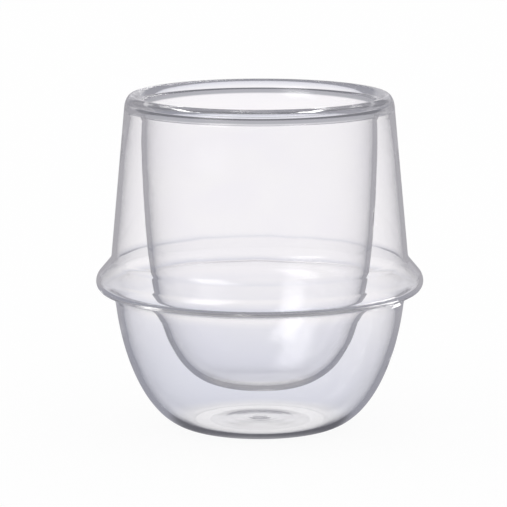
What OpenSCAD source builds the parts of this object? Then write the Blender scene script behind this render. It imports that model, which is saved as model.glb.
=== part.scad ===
// Double walled glass cup. It stands on the XY plane and is turned about the Z axis.
// Two blown glasses share one solid lip, with sealed air between them. Sizes are in millimetres.

/* [Whole cup] */
// Height from the table to the top of the lip
cup_h = 102.4; // [98:0.2:110]
// Flat steps in each short rounding of an outline
round_steps = 12; // [8:1:20]
// Flat steps in each long curve of an outline
curve_steps = 26; // [16:1:40]
// Steps in a full turn
turn_steps = 120; // [60:12:180]

/* [Lip] */
// Depth of solid glass from the top of the lip to the top of the air gap
lip_depth = 3; // [2.2:0.1:4]
// Height of the air gap's round top
gap_rise = 3; // [1.4:0.1:3.6]
// Width of the lip's outer rounding, from the wall in to the crest; the mouth's side takes the rest
lip_round_w = 2.5; // [2:0.1:4]
// Height of the lip's outer rounding
lip_round_h = 4.7; // [2:0.1:5.6]
// Height of the rounding on the mouth's side
mouth_round_h = 5.8; // [2:0.1:6.4]
// Height of the lip's two straight legs, from the lowest of those rounds down to the seams
leg_h = 0.6; // [0.4:0.1:2]
// Width of the air gap at the seams
gap_w = 3.5; // [2.8:0.1:4.2]

/* [Outer wall and collar] */
// Thickness of the upper wall and of the collar
wall_t = 1.5; // [1.2:0.1:2]
// Thickness of the upper wall where it meets the lip
wall_top_t = 2; // [1.5:0.1:2.6]
// Length over which that thick top thins to the wall
wall_blend = 16; // [8:1:24]
// Lean of the upper wall from upright, widening downwards, in degrees
wall_lean = 5.3; // [4:0.1:6.5]
// Diameter over the rounded edge of the collar
collar_d = 100; // [97:0.5:106]
// Height of the collar's widest line above the table
collar_h = 45.2; // [42:0.2:50]
// Reach of the collar's edge beyond the line of the upper wall
collar_reach = 4; // [3:0.1:5]
// Radius of the upper half of the collar's edge
collar_round = 4.2; // [3.4:0.1:4.8]
// Radius of the lower half of the collar's edge
collar_under = 3.1; // [2.6:0.1:3.6]
// Slope of the collar's upper face from upright, in degrees
collar_slope = 40; // [36:1:46]
// Radius of the hollow where the upper wall turns out into the collar
neck_round = 3.2; // [2:0.2:6]

/* [Bowl and foot] */
// Step in from the collar's edge to the top of the bowl
bowl_step = 6; // [5:0.1:7]
// Thickness of the bowl's wall at its top
bowl_t = 1.9; // [1.6:0.1:2.4]
// Radius of the hollow where the collar's underside turns down into the bowl
hollow_round = 5; // [4:0.2:6]
// Lean of the bowl's top from upright, narrowing downwards, in degrees
bowl_lean = 6.7; // [4:0.1:10]
// Outer diameter of the flat ring that the cup stands on
foot_d = 40; // [36:0.5:44]
// Width of that flat ring
foot_w = 4.5; // [3:0.25:6]
// Thickness of the glass at the foot and the base
base_t = 1.7; // [1.3:0.1:2.5]
// Rise of the base's middle above the table
kick_h = 0.7; // [0.5:0.1:1.5]
// Diameter of the flat middle of the raised base
kick_d = 10; // [9:0.5:18]

/* [Vent and its seal] */
// Diameter of the vent hole in the middle of the base
vent_d = 5; // [3.5:0.25:6.5]
// Width by which the seal laps the base round the hole, on the outside
seal_lap = 1; // [0.6:0.1:1.2]
// Depth of the seal's round button below the raised base
seal_button = 0.3; // [0.2:0.1:0.4]
// Height of the seal's drop above the glass, inside the air gap
seal_drop = 0.3; // [0.2:0.1:1]

/* [Inner vessel] */
// Thickness of the inner vessel's wall and bottom
vessel_t = 1.5; // [1.2:0.1:2]
// Height of the inner vessel's underside above the table
vessel_bottom = 12.2; // [9:0.1:16]
// Length of the vessel's straight top below its seam
vessel_straight = 1; // [0.5:0.1:8]

/* [Hidden] */
glass_tint = [0.87, 0.88, 0.93, 0.45];
seal_tint = [0.80, 0.81, 0.88, 0.6];

// How far each long curve holds on to its steep start and to its flat end, as shares of its height
// and of its width
bowl_fall_share = 0.51;
bowl_sweep_share = 0.54;
vessel_fall_share = 0.96;
vessel_sweep_share = 0.64;

collar_r = collar_d / 2;
bowl_r = collar_r - bowl_step;
foot_r = foot_d / 2;
kick_r = kick_d / 2;
vent_r = vent_d / 2;

// Outward normals of the leaning wall and of the collar's upper face
wall_normal = [cos(wall_lean), sin(wall_lean)];
slope_normal = [cos(collar_slope), sin(collar_slope)];

// Foot of the leaning wall's line, at the height of the collar's widest line
wall_foot = [collar_r - collar_reach, collar_h];

// Radius of the leaning wall at height z, for the surface that lies t inside the outer one
function wall_radius(z, t) = wall_foot[0] - (z - collar_h) * tan(wall_lean) - t / cos(wall_lean);

// The legs of the fused lip start below its roundings and below the gap's top, and both walls
// meet them at one height
seam_h = cup_h - max(lip_round_h, mouth_round_h, lip_depth + gap_rise) - leg_h;
vessel_r = wall_radius(seam_h, wall_top_t) - gap_w;
mouth_r = vessel_r - vessel_t;

// Centres of the two halves of the collar's edge, and where its upper face leaves it
edge_centre = [collar_r - collar_round, collar_h];
under_centre = [collar_r - collar_under, collar_h];
edge_start = edge_centre + collar_round * slope_normal;

// Corner where the lines of the wall and of the collar's face cross, and the hollow that softens it
wall_run = ((edge_start - wall_foot) * slope_normal) / sin(collar_slope - wall_lean);
corner = wall_foot + wall_run * [-sin(wall_lean), cos(wall_lean)];
neck_share = 1 / (1 + cos(collar_slope - wall_lean));
neck_centre = corner + neck_round * neck_share * (wall_normal + slope_normal);

// The hollow under the collar touches the edge's lower half and the top of the bowl
hollow_x = bowl_r + hollow_round * cos(bowl_lean);
hollow_reach = collar_under + hollow_round;
hollow_drop = sqrt(pow(hollow_reach, 2) - pow(hollow_x - under_centre[0], 2));
hollow_centre = [hollow_x, collar_h - hollow_drop];
meet = atan2(hollow_drop, under_centre[0] - hollow_x);
bowl_top = hollow_centre + hollow_round * [-cos(bowl_lean), sin(bowl_lean)];

// The bowl's curve runs from its top to the foot, and the vessel's from its side to its bottom
bowl_ends = [
  bowl_top,
  bowl_top - bowl_fall_share * bowl_top[1] * [tan(bowl_lean), 1],
  [foot_r + bowl_sweep_share * (bowl_top[0] - foot_r), 0],
  [foot_r, 0]
];
vessel_side = [vessel_r, seam_h - vessel_straight];
vessel_ends = [
  vessel_side,
  vessel_side - [0, vessel_fall_share * (vessel_side[1] - vessel_bottom)],
  [vessel_sweep_share * vessel_r, vessel_bottom],
  [0, vessel_bottom]
];

// Oval stretch about centre c, w wide and h high from its middle, from angle a to angle b
function oval(c, w, h, a, b) = [
  for (i = [0 : round_steps])
    let (angle = a + (b - a) * i / round_steps)
    c + [w * cos(angle), h * sin(angle)]
];

// Round stretch about centre c, from angle a to angle b, whose radius changes evenly from r to r_end
function arc(c, r, r_end, a, b) = [
  for (i = [0 : round_steps])
    let (share = i / round_steps, angle = a + (b - a) * share)
    c + (r + (r_end - r) * share) * [cos(angle), sin(angle)]
];

// Point and direction of a cubic curve with the four ends p, at share u of the way
function curve_point(p, u) =
  pow(1 - u, 3) * p[0] + 3 * pow(1 - u, 2) * u * p[1] + 3 * (1 - u) * u * u * p[2] + pow(u, 3) * p[3];
function curve_way(p, u) =
  pow(1 - u, 2) * (p[1] - p[0]) + 2 * (1 - u) * u * (p[2] - p[1]) + u * u * (p[3] - p[2]);

// Curve p moved inwards by t at its start, changing evenly to t_end at its end
function curve_line(p, t, t_end) = [
  for (i = [0 : curve_steps])
    let (u = i / curve_steps, way = curve_way(p, u), inward = [way[1], -way[0]] / norm(way))
    curve_point(p, u) + (t + (t_end - t) * u) * inward
];

// The base's middle rises in one soft wave; z is the height of the foot's surface
function kick_line(z) = [
  for (i = [0 : round_steps])
    let (share = i / round_steps)
    [foot_r - foot_w + (kick_r - foot_r + foot_w) * share, z + kick_h * (1 - cos(180 * share)) / 2]
];

// Leaning wall just under the lip, t_top thick at the seam and thinning evenly to t
function wall_top_line(t, t_top) = [
  for (i = [0 : round_steps])
    let (share = i / round_steps, z = seam_h - wall_blend * share)
    [wall_radius(z, t + (t_top - t) * (1 + cos(180 * share)) / 2), z]
];

// One surface of the outer shell from the lip to the vent hole: t inside the outer surface on the
// wall and the collar, t_top at the lip, t_bowl at the top of the bowl, and t_base on the base
function shell_line(t, t_top, t_bowl, t_base) = concat(
  wall_top_line(t, t_top),
  arc(neck_centre, neck_round + t, neck_round + t, 180 + wall_lean, 180 + collar_slope),
  arc(edge_centre, collar_round - t, collar_round - t, collar_slope, 0),
  arc(under_centre, collar_under - t, collar_under - t, 0, meet - 180),
  arc(hollow_centre, hollow_round + t, hollow_round + t_bowl, meet, 180 - bowl_lean),
  curve_line(bowl_ends, t_bowl, t_base),
  kick_line(t_base),
  [[vent_r, kick_h + t_base]]
);

// One surface of the inner vessel from the lip to the middle of its bottom, t inside the outer one
function vessel_line(t) = concat(
  [[vessel_r - t, seam_h]],
  curve_line(vessel_ends, t, t)
);

function reversed(points) = [for (i = [len(points) - 1 : -1 : 0]) points[i]];

// Section between an outer and an inner line, turned about the axis
module turned(outer_line, inner_line) {
  rotate_extrude($fn = turn_steps)
    polygon(concat(outer_line, reversed(inner_line)));
}

// Leaning wall, hollow collar, bowl, foot and raised base in one blown glass, open at the vent
module outer_shell() {
  color(glass_tint)
    turned(shell_line(0, 0, 0, 0), shell_line(wall_t, wall_top_t, bowl_t, base_t));
}

// Blown glass that holds the drink and hangs free from the lip
module inner_vessel() {
  color(glass_tint)
    turned(vessel_line(0), vessel_line(vessel_t));
}

// Ring melted from both rims: a solid round lip whose two legs stand on the tops of the two walls
module rim_bead() {
  // The outer rounding leaves the wall where the oval leans as the wall does
  lip_lean = atan(lip_round_h / lip_round_w * tan(wall_lean));
  lip_touch = cup_h - lip_round_h * (1 - sin(lip_lean));
  crest_r = wall_radius(lip_touch, 0) - lip_round_w * cos(lip_lean);
  lip_centre = [crest_r, cup_h - lip_round_h];
  mouth_centre = [crest_r, cup_h - mouth_round_h];
  // The air gap's round top stands on the straight insides of the legs
  gap_foot = cup_h - lip_depth - gap_rise;
  gap_half = (wall_radius(gap_foot, wall_top_t) - vessel_r) / 2;
  gap_centre = [vessel_r + gap_half, gap_foot];
  top_line = concat(
    [[wall_radius(seam_h, 0), seam_h]],
    oval(lip_centre, lip_round_w, lip_round_h, lip_lean, 90),
    oval(mouth_centre, crest_r - mouth_r, mouth_round_h, 90, 180),
    [[mouth_r, seam_h]]
  );
  gap_line = concat(
    [[wall_radius(seam_h, wall_top_t), seam_h]],
    oval(gap_centre, gap_half, gap_rise, 0, 180),
    [[vessel_r, seam_h]]
  );
  color(glass_tint)
    turned(top_line, gap_line);
}

// Drop of glass that closes the vent: a button under the base, a plug in the hole, a drop above
module vent_seal() {
  button_r = vent_r + seal_lap;
  seat_h = kick_h + base_t;
  button_line = [
    for (i = [0 : round_steps])
      let (share = i / round_steps)
      [button_r * share, kick_h - seal_button * cos(90 * share)]
  ];
  drop_line = [
    for (i = [0 : round_steps])
      let (share = 1 - i / round_steps)
      [vent_r * share, seat_h + seal_drop * cos(90 * share)]
  ];
  color(seal_tint)
    rotate_extrude($fn = turn_steps)
      polygon(concat(button_line, [[vent_r, kick_h]], drop_line));
}

outer_shell();
inner_vessel();
rim_bead();
vent_seal();
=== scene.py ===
import math

import bpy
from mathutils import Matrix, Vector


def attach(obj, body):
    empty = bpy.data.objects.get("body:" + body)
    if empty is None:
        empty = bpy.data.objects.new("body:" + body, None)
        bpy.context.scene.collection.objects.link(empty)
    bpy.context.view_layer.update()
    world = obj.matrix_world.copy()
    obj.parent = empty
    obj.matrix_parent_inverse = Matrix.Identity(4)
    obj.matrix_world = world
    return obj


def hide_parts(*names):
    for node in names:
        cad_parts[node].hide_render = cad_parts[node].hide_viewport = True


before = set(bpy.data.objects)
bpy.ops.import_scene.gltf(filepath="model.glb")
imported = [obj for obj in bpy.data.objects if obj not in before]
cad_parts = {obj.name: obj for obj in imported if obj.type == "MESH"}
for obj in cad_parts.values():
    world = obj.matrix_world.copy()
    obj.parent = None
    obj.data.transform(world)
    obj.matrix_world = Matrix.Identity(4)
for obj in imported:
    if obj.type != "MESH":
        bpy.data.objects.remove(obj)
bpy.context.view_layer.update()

# Camera
# It stands where the photograph was taken from: about ten cup widths away and a little above the
# lip, with a long lens, aimed a touch beside the cup's middle, as the photograph is framed.

PICTURE_SIDE = 507
SENSOR_WIDTH = 36.0
FOCAL_PIXELS = 3552
NEAREST, FARTHEST = 0.01, 50.0
CAMERA_DISTANCE = 1.070
AIM_HEIGHT = 0.050
CAMERA_RISE_DEG = 9.8
AIM_ROW, AIM_COLUMN = 264.0, 258.7
ROLL_DEG = 0.1

camera_data = bpy.data.cameras.new("camera")
camera_data.sensor_width = SENSOR_WIDTH
camera_data.lens = FOCAL_PIXELS * SENSOR_WIDTH / PICTURE_SIDE
camera_data.clip_start, camera_data.clip_end = NEAREST, FARTHEST
camera = bpy.data.objects.new("camera", camera_data)
bpy.context.scene.collection.objects.link(camera)
rise = math.radians(CAMERA_RISE_DEG)
camera.location = (0, -CAMERA_DISTANCE, AIM_HEIGHT + CAMERA_DISTANCE * math.tan(rise))
tilt = rise - (AIM_ROW - PICTURE_SIDE / 2) / FOCAL_PIXELS
turn = (AIM_COLUMN - PICTURE_SIDE / 2) / FOCAL_PIXELS
camera.rotation_mode = "XYZ"
camera.rotation_euler = (math.radians(90) - tilt, math.radians(ROLL_DEG), turn)
bpy.context.scene.camera = camera

# Outer shell
# The outer borosilicate glass: a leaning wall, a hollow collar, a rounded bowl and a small foot. It
# is blown in a turning mould, has a vent hole in its base, and is melted into the lip at the top.

MM = 0.001
CUP_HEIGHT = 102.4 * MM
LIP_DEPTH = 3.0 * MM
GAP_RISE = 3.0 * MM
LEG_HEIGHT = 0.6 * MM
GAP_WIDTH = 3.5 * MM
WALL = 1.5 * MM
WALL_TOP = 2.0 * MM
WALL_BLEND = 16.0 * MM
WALL_LEAN = math.radians(5.3)
COLLAR_RADIUS = 49.98 * MM
COLLAR_HEIGHT = 45.2 * MM
COLLAR_REACH = 4.0 * MM
COLLAR_ROUND = 4.2 * MM
COLLAR_UNDER = 3.1 * MM
COLLAR_SLOPE = math.radians(40)
NECK_ROUND = 3.2 * MM
HOLLOW_ROUND = 5.0 * MM
BOWL_STEP = 6.0 * MM
BOWL_WALL = 1.9 * MM
BOWL_LEAN = math.radians(6.7)
BOWL_FALL_SHARE, BOWL_SWEEP_SHARE = 0.51, 0.54
FOOT_RADIUS = 20.0 * MM
FOOT_WIDTH = 4.5 * MM
BASE = 1.7 * MM
KICK_HEIGHT = 0.7 * MM
KICK_RADIUS = 5.0 * MM
RIPPLE = 0.012 * MM
RIPPLES = 3
VENT_RADIUS = 2.5 * MM
SEAL_LAP = 1.0 * MM
BLEND_STEPS, WALL_STEPS, NECK_STEPS, EDGE_STEPS = 24, 12, 12, 14
UNDER_STEPS, HOLLOW_STEPS, BOWL_STEPS, KICK_STEPS = 16, 16, 60, 24
TURN_STEPS = 192
WELD_REACH = 0.002 * MM
CREASE = math.radians(35)


def way(angle):
    """Unit step in the outline's plane, as (radius, height), at an angle from the level."""
    return Vector((math.cos(angle), math.sin(angle)))


def arc(centre, radius, start, end, steps, end_radius=None):
    """Round stretch of an outline, whose radius may change evenly along it."""
    end_radius = radius if end_radius is None else end_radius
    points = []
    for i in range(steps + 1):
        share = i / steps
        reach = radius + (end_radius - radius) * share
        points.append(centre + reach * way(start + (end - start) * share))
    return points


def straight(start, end, steps):
    """Straight stretch of an outline, without its two ends."""
    return [start.lerp(end, i / steps) for i in range(1, steps)]


def curve(ends, wall_start, wall_end, steps):
    """Cubic curve with four ends, moved inwards by the wall, which changes evenly along it."""
    legs = [after - before for before, after in zip(ends, ends[1:])]
    points = []
    for i in range(steps + 1):
        u = i / steps
        v = 1 - u
        point = v**3 * ends[0] + 3 * v * v * u * ends[1] + 3 * v * u * u * ends[2] + u**3 * ends[3]
        step = v * v * legs[0] + 2 * v * u * legs[1] + u * u * legs[2]
        inward = Vector((step.y, -step.x)).normalized()
        points.append(point + (wall_start + (wall_end - wall_start) * u) * inward)
    return points


wall_normal, slope_normal = way(WALL_LEAN), way(COLLAR_SLOPE)
wall_foot = Vector((COLLAR_RADIUS - COLLAR_REACH, COLLAR_HEIGHT))


def wall_radius(height, wall):
    """Radius of the leaning wall's surface at a height, that much inside the outer surface."""
    return wall_foot.x - (height - wall_foot.y) * math.tan(WALL_LEAN) - wall / math.cos(WALL_LEAN)


seam_height = CUP_HEIGHT - LIP_DEPTH - GAP_RISE - LEG_HEIGHT
edge_centre = Vector((COLLAR_RADIUS - COLLAR_ROUND, COLLAR_HEIGHT))
edge_start = edge_centre + COLLAR_ROUND * slope_normal
wall_run = (edge_start - wall_foot).dot(slope_normal) / math.sin(COLLAR_SLOPE - WALL_LEAN)
corner = wall_foot + wall_run * Vector((-math.sin(WALL_LEAN), math.cos(WALL_LEAN)))
neck_reach = NECK_ROUND / (1 + math.cos(COLLAR_SLOPE - WALL_LEAN))
neck_centre = corner + neck_reach * (wall_normal + slope_normal)
under_centre = Vector((COLLAR_RADIUS - COLLAR_UNDER, COLLAR_HEIGHT))
hollow_x = COLLAR_RADIUS - BOWL_STEP + HOLLOW_ROUND * math.cos(BOWL_LEAN)
hollow_drop = math.sqrt((COLLAR_UNDER + HOLLOW_ROUND) ** 2 - (hollow_x - under_centre.x) ** 2)
hollow_centre = Vector((hollow_x, COLLAR_HEIGHT - hollow_drop))
meet = math.atan2(hollow_drop, under_centre.x - hollow_x)
bowl_top = hollow_centre + HOLLOW_ROUND * Vector((-math.cos(BOWL_LEAN), math.sin(BOWL_LEAN)))
bowl_ends = [
    bowl_top,
    bowl_top - BOWL_FALL_SHARE * bowl_top.y * Vector((math.tan(BOWL_LEAN), 1)),
    Vector((FOOT_RADIUS + BOWL_SWEEP_SHARE * (bowl_top.x - FOOT_RADIUS), 0)),
    Vector((FOOT_RADIUS, 0)),
]


def shell_surface(wall, wall_at_lip, bowl_wall, base):
    """One surface of the outer shell from the seam under the lip to the vent hole."""
    top = []
    for i in range(BLEND_STEPS + 1):
        height = seam_height - WALL_BLEND * i / BLEND_STEPS
        ease = (1 + math.cos(math.pi * i / BLEND_STEPS)) / 2
        top.append(Vector((wall_radius(height, wall + (wall_at_lip - wall) * ease), height)))
    neck_ends = (math.pi + WALL_LEAN, math.pi + COLLAR_SLOPE)
    neck = arc(neck_centre, NECK_ROUND + wall, *neck_ends, NECK_STEPS)
    edge = arc(edge_centre, COLLAR_ROUND - wall, COLLAR_SLOPE, 0, EDGE_STEPS)
    under = arc(under_centre, COLLAR_UNDER - wall, 0, meet - math.pi, UNDER_STEPS)[1:]
    hollow = arc(
        hollow_centre, HOLLOW_ROUND + wall, meet, math.pi - BOWL_LEAN,
        HOLLOW_STEPS, HOLLOW_ROUND + bowl_wall,
    )[1:]
    bowl = curve(bowl_ends, bowl_wall, base, BOWL_STEPS)[1:]
    kick_start = FOOT_RADIUS - FOOT_WIDTH
    kick = [Vector((kick_start, base))]
    for i in range(1, KICK_STEPS + 1):
        share = i / KICK_STEPS
        rise_there = KICK_HEIGHT * (1 - math.cos(math.pi * share)) / 2
        if base:
            rise_there += RIPPLE * math.sin(math.pi * share) * math.sin(RIPPLES * math.tau * share)
        kick.append(Vector((kick_start + (KICK_RADIUS - kick_start) * share, base + rise_there)))
    vent = [Vector((r, KICK_HEIGHT + base)) for r in (VENT_RADIUS + SEAL_LAP, VENT_RADIUS)]
    wall_line = straight(top[-1], neck[0], WALL_STEPS)
    return top + wall_line + neck + edge + under + hollow + bowl + kick + vent


def turned_glass(name, outline):
    """Extrudes one point along a closed outline, then spins the line round the cup's axis."""
    bpy.ops.object.select_all(action="DESELECT")
    bpy.ops.mesh.primitive_plane_add(size=MM, location=(outline[0].x, 0, outline[0].y))
    piece = bpy.context.object
    piece.name = piece.data.name = name
    bpy.ops.object.transform_apply(location=True)
    bpy.ops.object.mode_set(mode="EDIT")
    bpy.ops.mesh.select_all(action="SELECT")
    bpy.ops.mesh.merge(type="CENTER")
    for before, after in zip(outline, outline[1:]):
        step = (after.x - before.x, 0, after.y - before.y)
        bpy.ops.mesh.extrude_region_move(TRANSFORM_OT_translate={"value": step})
    bpy.ops.mesh.select_all(action="SELECT")
    bpy.ops.mesh.spin(steps=TURN_STEPS, angle=math.tau, center=(0, 0, 0), axis=(0, 0, 1))
    bpy.ops.mesh.select_all(action="SELECT")
    bpy.ops.mesh.remove_doubles(threshold=WELD_REACH)
    bpy.ops.mesh.normals_make_consistent(inside=False)
    bpy.ops.object.mode_set(mode="OBJECT")
    bpy.ops.object.shade_smooth_by_angle(angle=CREASE)
    return piece


outer_line = shell_surface(0, 0, 0, 0)
inner_line = shell_surface(WALL, WALL_TOP, BOWL_WALL, BASE)
outer_shell = turned_glass("outer_shell_glass", outer_line + inner_line[::-1] + [outer_line[0]])

GLASS_IOR = 1.47
FACE_ON_SHINE = (0.5, 0.5, 0.5, 1)
FAINT_TINT = (0.993, 0.992, 0.998, 1)
NO_TINT = (1.0, 1.0, 1.0, 1)
TINT_FROM, TINT_TO = 0.35, 0.65
BLOWN_WAVES, BLOWN_WAVE_DEPTH = (55, 55, 90), 0.16 * MM


def clear_glass(name, wave_counts, wave_depth):
    """Clear borosilicate with the faint tint and the waves per metre that working it hot leaves."""
    material = bpy.data.materials.new(name)
    material.use_nodes = True
    nodes, links = material.node_tree.nodes, material.node_tree.links
    shader = nodes["Principled BSDF"]
    shader.inputs["Roughness"].default_value = 0.0
    shader.inputs["IOR"].default_value = GLASS_IOR
    shader.inputs["Transmission Weight"].default_value = 1.0
    shader.inputs["Specular Tint"].default_value = FACE_ON_SHINE
    place = nodes.new("ShaderNodeTexCoord")
    scale = nodes.new("ShaderNodeMapping")
    scale.inputs["Scale"].default_value = wave_counts
    waves = nodes.new("ShaderNodeTexNoise")
    waves.inputs["Scale"].default_value = 1.0
    waves.inputs["Detail"].default_value = 1.0
    bump = nodes.new("ShaderNodeBump")
    bump.inputs["Strength"].default_value = 1.0
    bump.inputs["Distance"].default_value = wave_depth
    tint = nodes.new("ShaderNodeValToRGB")
    tinted, untinted = tint.color_ramp.elements
    tinted.position, tinted.color = TINT_FROM, FAINT_TINT
    untinted.position, untinted.color = TINT_TO, NO_TINT
    links.new(place.outputs["Object"], scale.inputs["Vector"])
    links.new(scale.outputs["Vector"], waves.inputs["Vector"])
    links.new(waves.outputs["Fac"], bump.inputs["Height"])
    links.new(waves.outputs["Fac"], tint.inputs["Fac"])
    links.new(bump.outputs["Normal"], shader.inputs["Normal"])
    links.new(tint.outputs["Color"], shader.inputs["Base Color"])
    return material


def fused_seam():
    """Where two glasses have melted together nothing bends the light."""
    material = bpy.data.materials.new("fused_seam")
    material.use_nodes = True
    shader = material.node_tree.nodes["Principled BSDF"]
    shader.inputs["Alpha"].default_value = 0.0
    return material


blown_glass = clear_glass("blown_glass", BLOWN_WAVES, BLOWN_WAVE_DEPTH)
seam = fused_seam()


def finish_glass(piece, glass, seam_faces, node):
    """Gives a piece its glass, clears the faces melted to its neighbour, and places it."""
    piece.data.materials.append(glass)
    piece.data.materials.append(seam)
    for face in piece.data.polygons:
        if seam_faces([piece.data.vertices[v].co for v in face.vertices]):
            face.material_index = 1
    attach(piece, "root")
    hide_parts(node)


CLOSE = 0.01 * MM


def level_at(height):
    """Test for faces that lie level at a height."""
    return lambda points: all(abs(p.z - height) < CLOSE for p in points)


def at_vent(points):
    """Test for faces on the wall of the vent hole, or under the base where the seal laps it."""
    reach = [math.hypot(p.x, p.y) for p in points]
    on_wall = all(abs(r - VENT_RADIUS) < CLOSE for r in reach)
    in_lap = max(reach) < VENT_RADIUS + SEAL_LAP + CLOSE
    return on_wall or (in_lap and level_at(KICK_HEIGHT)(points))


def at_lip_or_vent(points):
    """Test for all faces where the outer shell is melted to the lip or to the seal."""
    return level_at(seam_height)(points) or at_vent(points)


finish_glass(outer_shell, blown_glass, at_lip_or_vent, "outer_shell")

# Inner vessel
# The inner borosilicate glass, which holds the drink: nearly straight, then narrowing to a round
# bottom. It is blown with an even wall and touches only the lip, which its top edge is melted into.

VESSEL_RADIUS = wall_radius(seam_height, WALL_TOP) - GAP_WIDTH
VESSEL_WALL = 1.5 * MM
VESSEL_BOTTOM = 12.2 * MM
VESSEL_STRAIGHT = 1.0 * MM
VESSEL_FALL_SHARE, VESSEL_SWEEP_SHARE = 0.96, 0.64
VESSEL_STEPS = 90
side_end = seam_height - VESSEL_STRAIGHT
vessel_ends = [
    Vector((VESSEL_RADIUS, side_end)),
    Vector((VESSEL_RADIUS, side_end - VESSEL_FALL_SHARE * (side_end - VESSEL_BOTTOM))),
    Vector((VESSEL_SWEEP_SHARE * VESSEL_RADIUS, VESSEL_BOTTOM)),
    Vector((0, VESSEL_BOTTOM)),
]


def vessel_surface(wall):
    """One surface of the vessel, that much inside its outer surface, from the seam to the axis."""
    start = Vector((VESSEL_RADIUS - wall, seam_height))
    return [start] + curve(vessel_ends, wall, wall, VESSEL_STEPS)


outer_line = vessel_surface(0)
inner_line = vessel_surface(VESSEL_WALL)
inner_vessel = turned_glass("inner_vessel_glass", inner_line[::-1] + outer_line)
finish_glass(inner_vessel, blown_glass, level_at(seam_height), "inner_vessel")

# Rim bead
# The solid lip, where the edges of the two glasses were melted together and rounded in the flame.
# Its underside is the round top of the air gap. Worked by hand, it has longer, deeper waves.

LIP_ROUND_WIDTH, LIP_ROUND_HEIGHT = 2.5 * MM, 4.7 * MM
MOUTH_ROUND_HEIGHT = 5.8 * MM
LIP_STEPS, GAP_STEPS = 32, 40
LIP_WAVES, LIP_WAVE_DEPTH = (40, 40, 60), 0.35 * MM


def oval(centre, width, height, start, end, steps):
    """Oval stretch of an outline, so wide and so high from its middle."""
    angles = [start + (end - start) * i / steps for i in range(steps + 1)]
    return [centre + Vector((width * math.cos(a), height * math.sin(a))) for a in angles]


upright = math.pi / 2
lip_lean = math.atan(LIP_ROUND_HEIGHT / LIP_ROUND_WIDTH * math.tan(WALL_LEAN))
lip_touch = CUP_HEIGHT - LIP_ROUND_HEIGHT * (1 - math.sin(lip_lean))
lip_middle = wall_radius(lip_touch, 0) - LIP_ROUND_WIDTH * math.cos(lip_lean)
lip_centre = Vector((lip_middle, CUP_HEIGHT - LIP_ROUND_HEIGHT))
mouth_radius = VESSEL_RADIUS - VESSEL_WALL
mouth_centre = Vector((lip_middle, CUP_HEIGHT - MOUTH_ROUND_HEIGHT))
mouth_size = (lip_middle - mouth_radius, MOUTH_ROUND_HEIGHT)
gap_foot = CUP_HEIGHT - LIP_DEPTH - GAP_RISE
gap_half = (wall_radius(gap_foot, WALL_TOP) - VESSEL_RADIUS) / 2
gap_centre = Vector((VESSEL_RADIUS + gap_half, gap_foot))
bead_foot = Vector((wall_radius(seam_height, 0), seam_height))
bead_line = (
    [bead_foot]
    + oval(lip_centre, LIP_ROUND_WIDTH, LIP_ROUND_HEIGHT, lip_lean, upright, LIP_STEPS)
    + oval(mouth_centre, *mouth_size, upright, math.pi, LIP_STEPS)[1:]
    + [Vector((mouth_radius, seam_height)), Vector((VESSEL_RADIUS, seam_height))]
    + oval(gap_centre, gap_half, GAP_RISE, math.pi, 0, GAP_STEPS)
    + [Vector((wall_radius(seam_height, WALL_TOP), seam_height)), bead_foot]
)
rim_bead = turned_glass("rim_bead_glass", bead_line)
lip_glass = clear_glass("lip_glass", LIP_WAVES, LIP_WAVE_DEPTH)
finish_glass(rim_bead, lip_glass, level_at(seam_height), "rim_bead")

# Vent seal
# The drop of molten glass that closes the vent hole, put on from below once the hot air between
# the walls had left. It laps the base round the hole and stands a little above it in the gap.

SEAL_BUTTON = 0.3 * MM
SEAL_DROP = 0.3 * MM
SEAL_STEPS = 16


def domed(radius, level, height):
    """Half of a low dome from its middle to its edge: so high above a level, or below it."""
    shares = [i / SEAL_STEPS for i in range(SEAL_STEPS + 1)]
    return [Vector((radius * s, level + height * math.cos(upright * s))) for s in shares]


button_line = domed(VENT_RADIUS + SEAL_LAP, KICK_HEIGHT, -SEAL_BUTTON)
drop_line = domed(VENT_RADIUS, KICK_HEIGHT + BASE, SEAL_DROP)
seal_line = button_line + [Vector((VENT_RADIUS, KICK_HEIGHT))] + drop_line[::-1]
vent_seal = turned_glass("vent_seal_glass", seal_line)
finish_glass(vent_seal, lip_glass, at_vent, "vent_seal")

# Table and light
# A plain table under soft studio light, white to the camera. It glows, and through the glass it
# shows painted shade: pale blue near the cup, white under the foot, and a grey half ring of painted
# contact shadow in front of the foot. Light that glass mirrors is dimmer, but for a soft window at
# the front left and a white backdrop.

TABLE_SIDE = 6.0
bpy.ops.object.select_all(action="DESELECT")
bpy.ops.mesh.primitive_plane_add(size=TABLE_SIDE, location=(0, 0, 0))
table = bpy.context.object
table.name = "table_top"

WHITE = (1, 1, 1, 1)
BOUNCED_SHARE = 0.42
BOUNCED_TINT = (0.955, 0.955, 1.0, 1)
# Painted shade on the table, seen only through the glass: pale blue near the cup, centred a little
# to its left, fading to white further out.
PAINTED_SHADE_NEAR_CUP = (0.745, 0.755, 0.84, 1)
TABLE_FAR = (1.0, 0.98, 1.0, 1)
TABLE_LIT = (0.95, 0.95, 0.95, 1)
PAINTED_SHADE_MIDDLE, PAINTED_SHADE_REACH = (-0.06, 0.0, 0.0), (0.03, 0.32)
# Painted light: the table under the foot is white through the glass, clearing the painted shade
# there.
PAINTED_LIGHT_UNDER_FOOT, UNDER_REACH = (1.0, 0.99, 1.0, 1), (0.034, 0.018)
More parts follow.
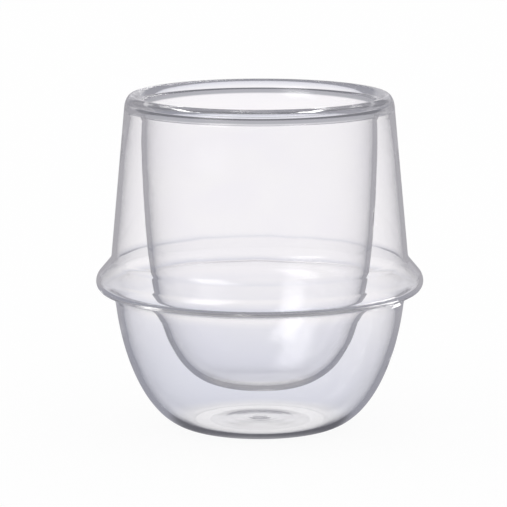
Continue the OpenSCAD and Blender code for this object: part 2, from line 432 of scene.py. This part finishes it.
# Painted contact shadow: a grey half ring just in front of the foot, seen only through the glass.
PAINTED_CONTACT_SHADOW = (0.30, 0.30, 0.33, 1)
EDGE_INNER, EDGE_OUTER, EDGE_FRONT = (0.0215, 0.0240), (0.0360, 0.0290), (0.0, -0.012)
GLOW_SHARE = 0.94
SKY_LOW = (1.0, 0.975, 1.0, 1)
SKY_HIGH = (0.475, 0.475, 0.51, 1)
SKY_RISE = (0.005, 0.16)
WINDOW_SHADE, WINDOW_STRENGTH = (1.0, 0.99, 0.97, 1), 5.2
WINDOW_SIDE_DEG, WINDOW_UP_DEG = -42, 36
WINDOW_ACROSS, WINDOW_UPWARD = (0.34, 0.09), (0.55, 0.20)
BACKDROP_SHADE, BACKDROP_STRENGTH = (0.99, 0.98, 1.0, 1), 0.55
BACKDROP_SIDE_DEG, BACKDROP_UP_DEG = 180, 12
BACKDROP_ACROSS, BACKDROP_UPWARD = (0.50, 0.20), (0.20, 0.06)


def new_node(tree, kind, **values):
    """New shader node with the given settings."""
    made = tree.nodes.new(kind)
    for key, value in values.items():
        setattr(made, key, value)
    return made


def feed(tree, socket, value):
    """Links a socket to another one, or sets it to a number, a colour or a direction."""
    if isinstance(value, bpy.types.NodeSocket):
        tree.links.new(value, socket)
    else:
        socket.default_value = value


def maths(tree, operation, first, second):
    """Result of a sum or comparison of two values, each a number or a socket."""
    made = new_node(tree, "ShaderNodeMath", operation=operation)
    feed(tree, made.inputs[0], first)
    feed(tree, made.inputs[1], second)
    return made.outputs[0]


def product(tree, first, *others):
    """All the values multiplied together."""
    for other in others:
        first = maths(tree, "MULTIPLY", first, other)
    return first


def blend(tree, share, first, second, how="MIX"):
    """Colour between two others, or the first with that share of the second multiplied in."""
    made = new_node(tree, "ShaderNodeMix", data_type="RGBA", blend_type=how)
    for socket, value in zip([s for s in made.inputs if s.enabled], (share, first, second)):
        feed(tree, socket, value)
    return next(s for s in made.outputs if s.type == "RGBA")


def ramp(tree, value, ends):
    """0 at the first end of a range, softly up to 1 at the second, which may be the lower one."""
    made = new_node(tree, "ShaderNodeMapRange", interpolation_type="SMOOTHSTEP")
    feed(tree, made.inputs["Value"], value)
    feed(tree, made.inputs["From Min"], ends[0])
    feed(tree, made.inputs["From Max"], ends[1])
    return made.outputs[0]


def along(tree, direction, axis):
    """How far a direction points along an axis."""
    made = new_node(tree, "ShaderNodeVectorMath", operation="DOT_PRODUCT")
    feed(tree, made.inputs[0], direction)
    feed(tree, made.inputs[1], axis)
    return made.outputs["Value"]


def has_bounced(tree):
    """1 for light that glass has mirrored at least once, 0 for light straight through it."""
    path = new_node(tree, "ShaderNodeLightPath")
    return maths(tree, "GREATER_THAN", path.outputs["Glossy Depth"], 0.5)


def dim_in_mirrors(tree, glow, colour):
    """Sets a glow to a colour that is whole straight through glass, dimmer and bluer mirrored."""
    bounced = has_bounced(tree)
    feed(tree, glow.inputs["Color"], blend(tree, bounced, colour, BOUNCED_TINT, "MULTIPLY"))
    lost = maths(tree, "MULTIPLY", bounced, 1 - BOUNCED_SHARE)
    feed(tree, glow.inputs["Strength"], maths(tree, "SUBTRACT", 1, lost))


material = bpy.data.materials.new("table_top")
material.use_nodes = True
tree = material.node_tree
tree.nodes.clear()
place = new_node(tree, "ShaderNodeTexCoord").outputs["Object"]
from_axis = new_node(tree, "ShaderNodeVectorMath", operation="LENGTH")
feed(tree, from_axis.inputs[0], place)
# Painted shade: the table seen through glass turns pale blue towards a point left of the cup.
from_painted_shade = new_node(tree, "ShaderNodeVectorMath", operation="DISTANCE")
feed(tree, from_painted_shade.inputs[0], place)
feed(tree, from_painted_shade.inputs[1], PAINTED_SHADE_MIDDLE)
reach = from_axis.outputs["Value"]
painted_shade_table = blend(
    tree, ramp(tree, from_painted_shade.outputs["Value"], PAINTED_SHADE_REACH), PAINTED_SHADE_NEAR_CUP, TABLE_FAR
)
# Painted light under the foot, where the painted shade is cleared to white.
lit_table = blend(tree, ramp(tree, reach, UNDER_REACH), painted_shade_table, PAINTED_LIGHT_UNDER_FOOT)
# Painted contact shadow: a grey ring round the foot, kept only on its front half.
ring = product(tree, ramp(tree, reach, EDGE_INNER), ramp(tree, reach, EDGE_OUTER))
front = ramp(tree, along(tree, place, (0, 1, 0)), EDGE_FRONT)
shade = blend(tree, product(tree, ring, front), lit_table, PAINTED_CONTACT_SHADOW)
path = new_node(tree, "ShaderNodeLightPath")
glow = new_node(tree, "ShaderNodeEmission")
dim_in_mirrors(tree, glow, blend(tree, path.outputs["Is Camera Ray"], shade, WHITE))
lit = new_node(tree, "ShaderNodeBsdfDiffuse")
feed(tree, lit.inputs["Color"], TABLE_LIT)
fresh = maths(tree, "SUBTRACT", 1, path.outputs["Is Diffuse Ray"])
mix = new_node(tree, "ShaderNodeMixShader")
feed(tree, mix.inputs["Fac"], maths(tree, "MULTIPLY", fresh, GLOW_SHARE))
feed(tree, mix.inputs[1], lit.outputs[0])
feed(tree, mix.inputs[2], glow.outputs[0])
out = new_node(tree, "ShaderNodeOutputMaterial")
feed(tree, out.inputs["Surface"], mix.outputs[0])
table.data.materials.append(material)


def mirrored_patch(tree, aim, side_deg, up_deg, across, upward, colour, strength):
    """Soft light that only reflections show, at an angle round from the front and up from level."""
    side, up = math.radians(side_deg), math.radians(up_deg)
    level = (math.cos(side), math.sin(side), 0)
    raised = (-math.sin(side) * math.sin(up), math.cos(side) * math.sin(up), math.cos(up))
    ahead = (math.sin(side), -math.cos(side), 0)
    shares = [maths(tree, "GREATER_THAN", along(tree, aim, ahead), 0), has_bounced(tree)]
    for axis, ends in ((level, across), (raised, upward)):
        shares.append(ramp(tree, maths(tree, "ABSOLUTE", along(tree, aim, axis), 0), ends))
    patch = new_node(tree, "ShaderNodeBackground")
    feed(tree, patch.inputs["Color"], colour)
    feed(tree, patch.inputs["Strength"], product(tree, *shares, strength))
    return patch.outputs[0]


world = bpy.data.worlds.new("studio")
bpy.context.scene.world = world
world.use_nodes = True
tree = world.node_tree
tree.nodes.clear()
aim = new_node(tree, "ShaderNodeTexCoord").outputs["Generated"]
shade = blend(tree, ramp(tree, along(tree, aim, (0, 0, 1)), SKY_RISE), SKY_LOW, SKY_HIGH)
path = new_node(tree, "ShaderNodeLightPath")
direct = maths(tree, "MAXIMUM", path.outputs["Is Camera Ray"], path.outputs["Is Diffuse Ray"])
sky = new_node(tree, "ShaderNodeBackground")
dim_in_mirrors(tree, sky, blend(tree, direct, shade, WHITE))
window = mirrored_patch(
    tree, aim, WINDOW_SIDE_DEG, WINDOW_UP_DEG,
    WINDOW_ACROSS, WINDOW_UPWARD, WINDOW_SHADE, WINDOW_STRENGTH,
)
backdrop = mirrored_patch(
    tree, aim, BACKDROP_SIDE_DEG, BACKDROP_UP_DEG,
    BACKDROP_ACROSS, BACKDROP_UPWARD, BACKDROP_SHADE, BACKDROP_STRENGTH,
)
light = sky.outputs[0]
for patch in (window, backdrop):
    both = new_node(tree, "ShaderNodeAddShader")
    feed(tree, both.inputs[0], light)
    feed(tree, both.inputs[1], patch)
    light = both.outputs[0]
out = new_node(tree, "ShaderNodeOutputWorld")
feed(tree, out.inputs["Surface"], light)

# Light that runs on inside the lip and the walls leaves them only after hundreds of bounces.
MOST_BOUNCES = 1000
scene = bpy.context.scene
scene.view_settings.view_transform = "Standard"
scene.cycles.max_bounces = MOST_BOUNCES
scene.cycles.glossy_bounces = MOST_BOUNCES
scene.cycles.transmission_bounces = MOST_BOUNCES
scene.cycles.transparent_max_bounces = MOST_BOUNCES
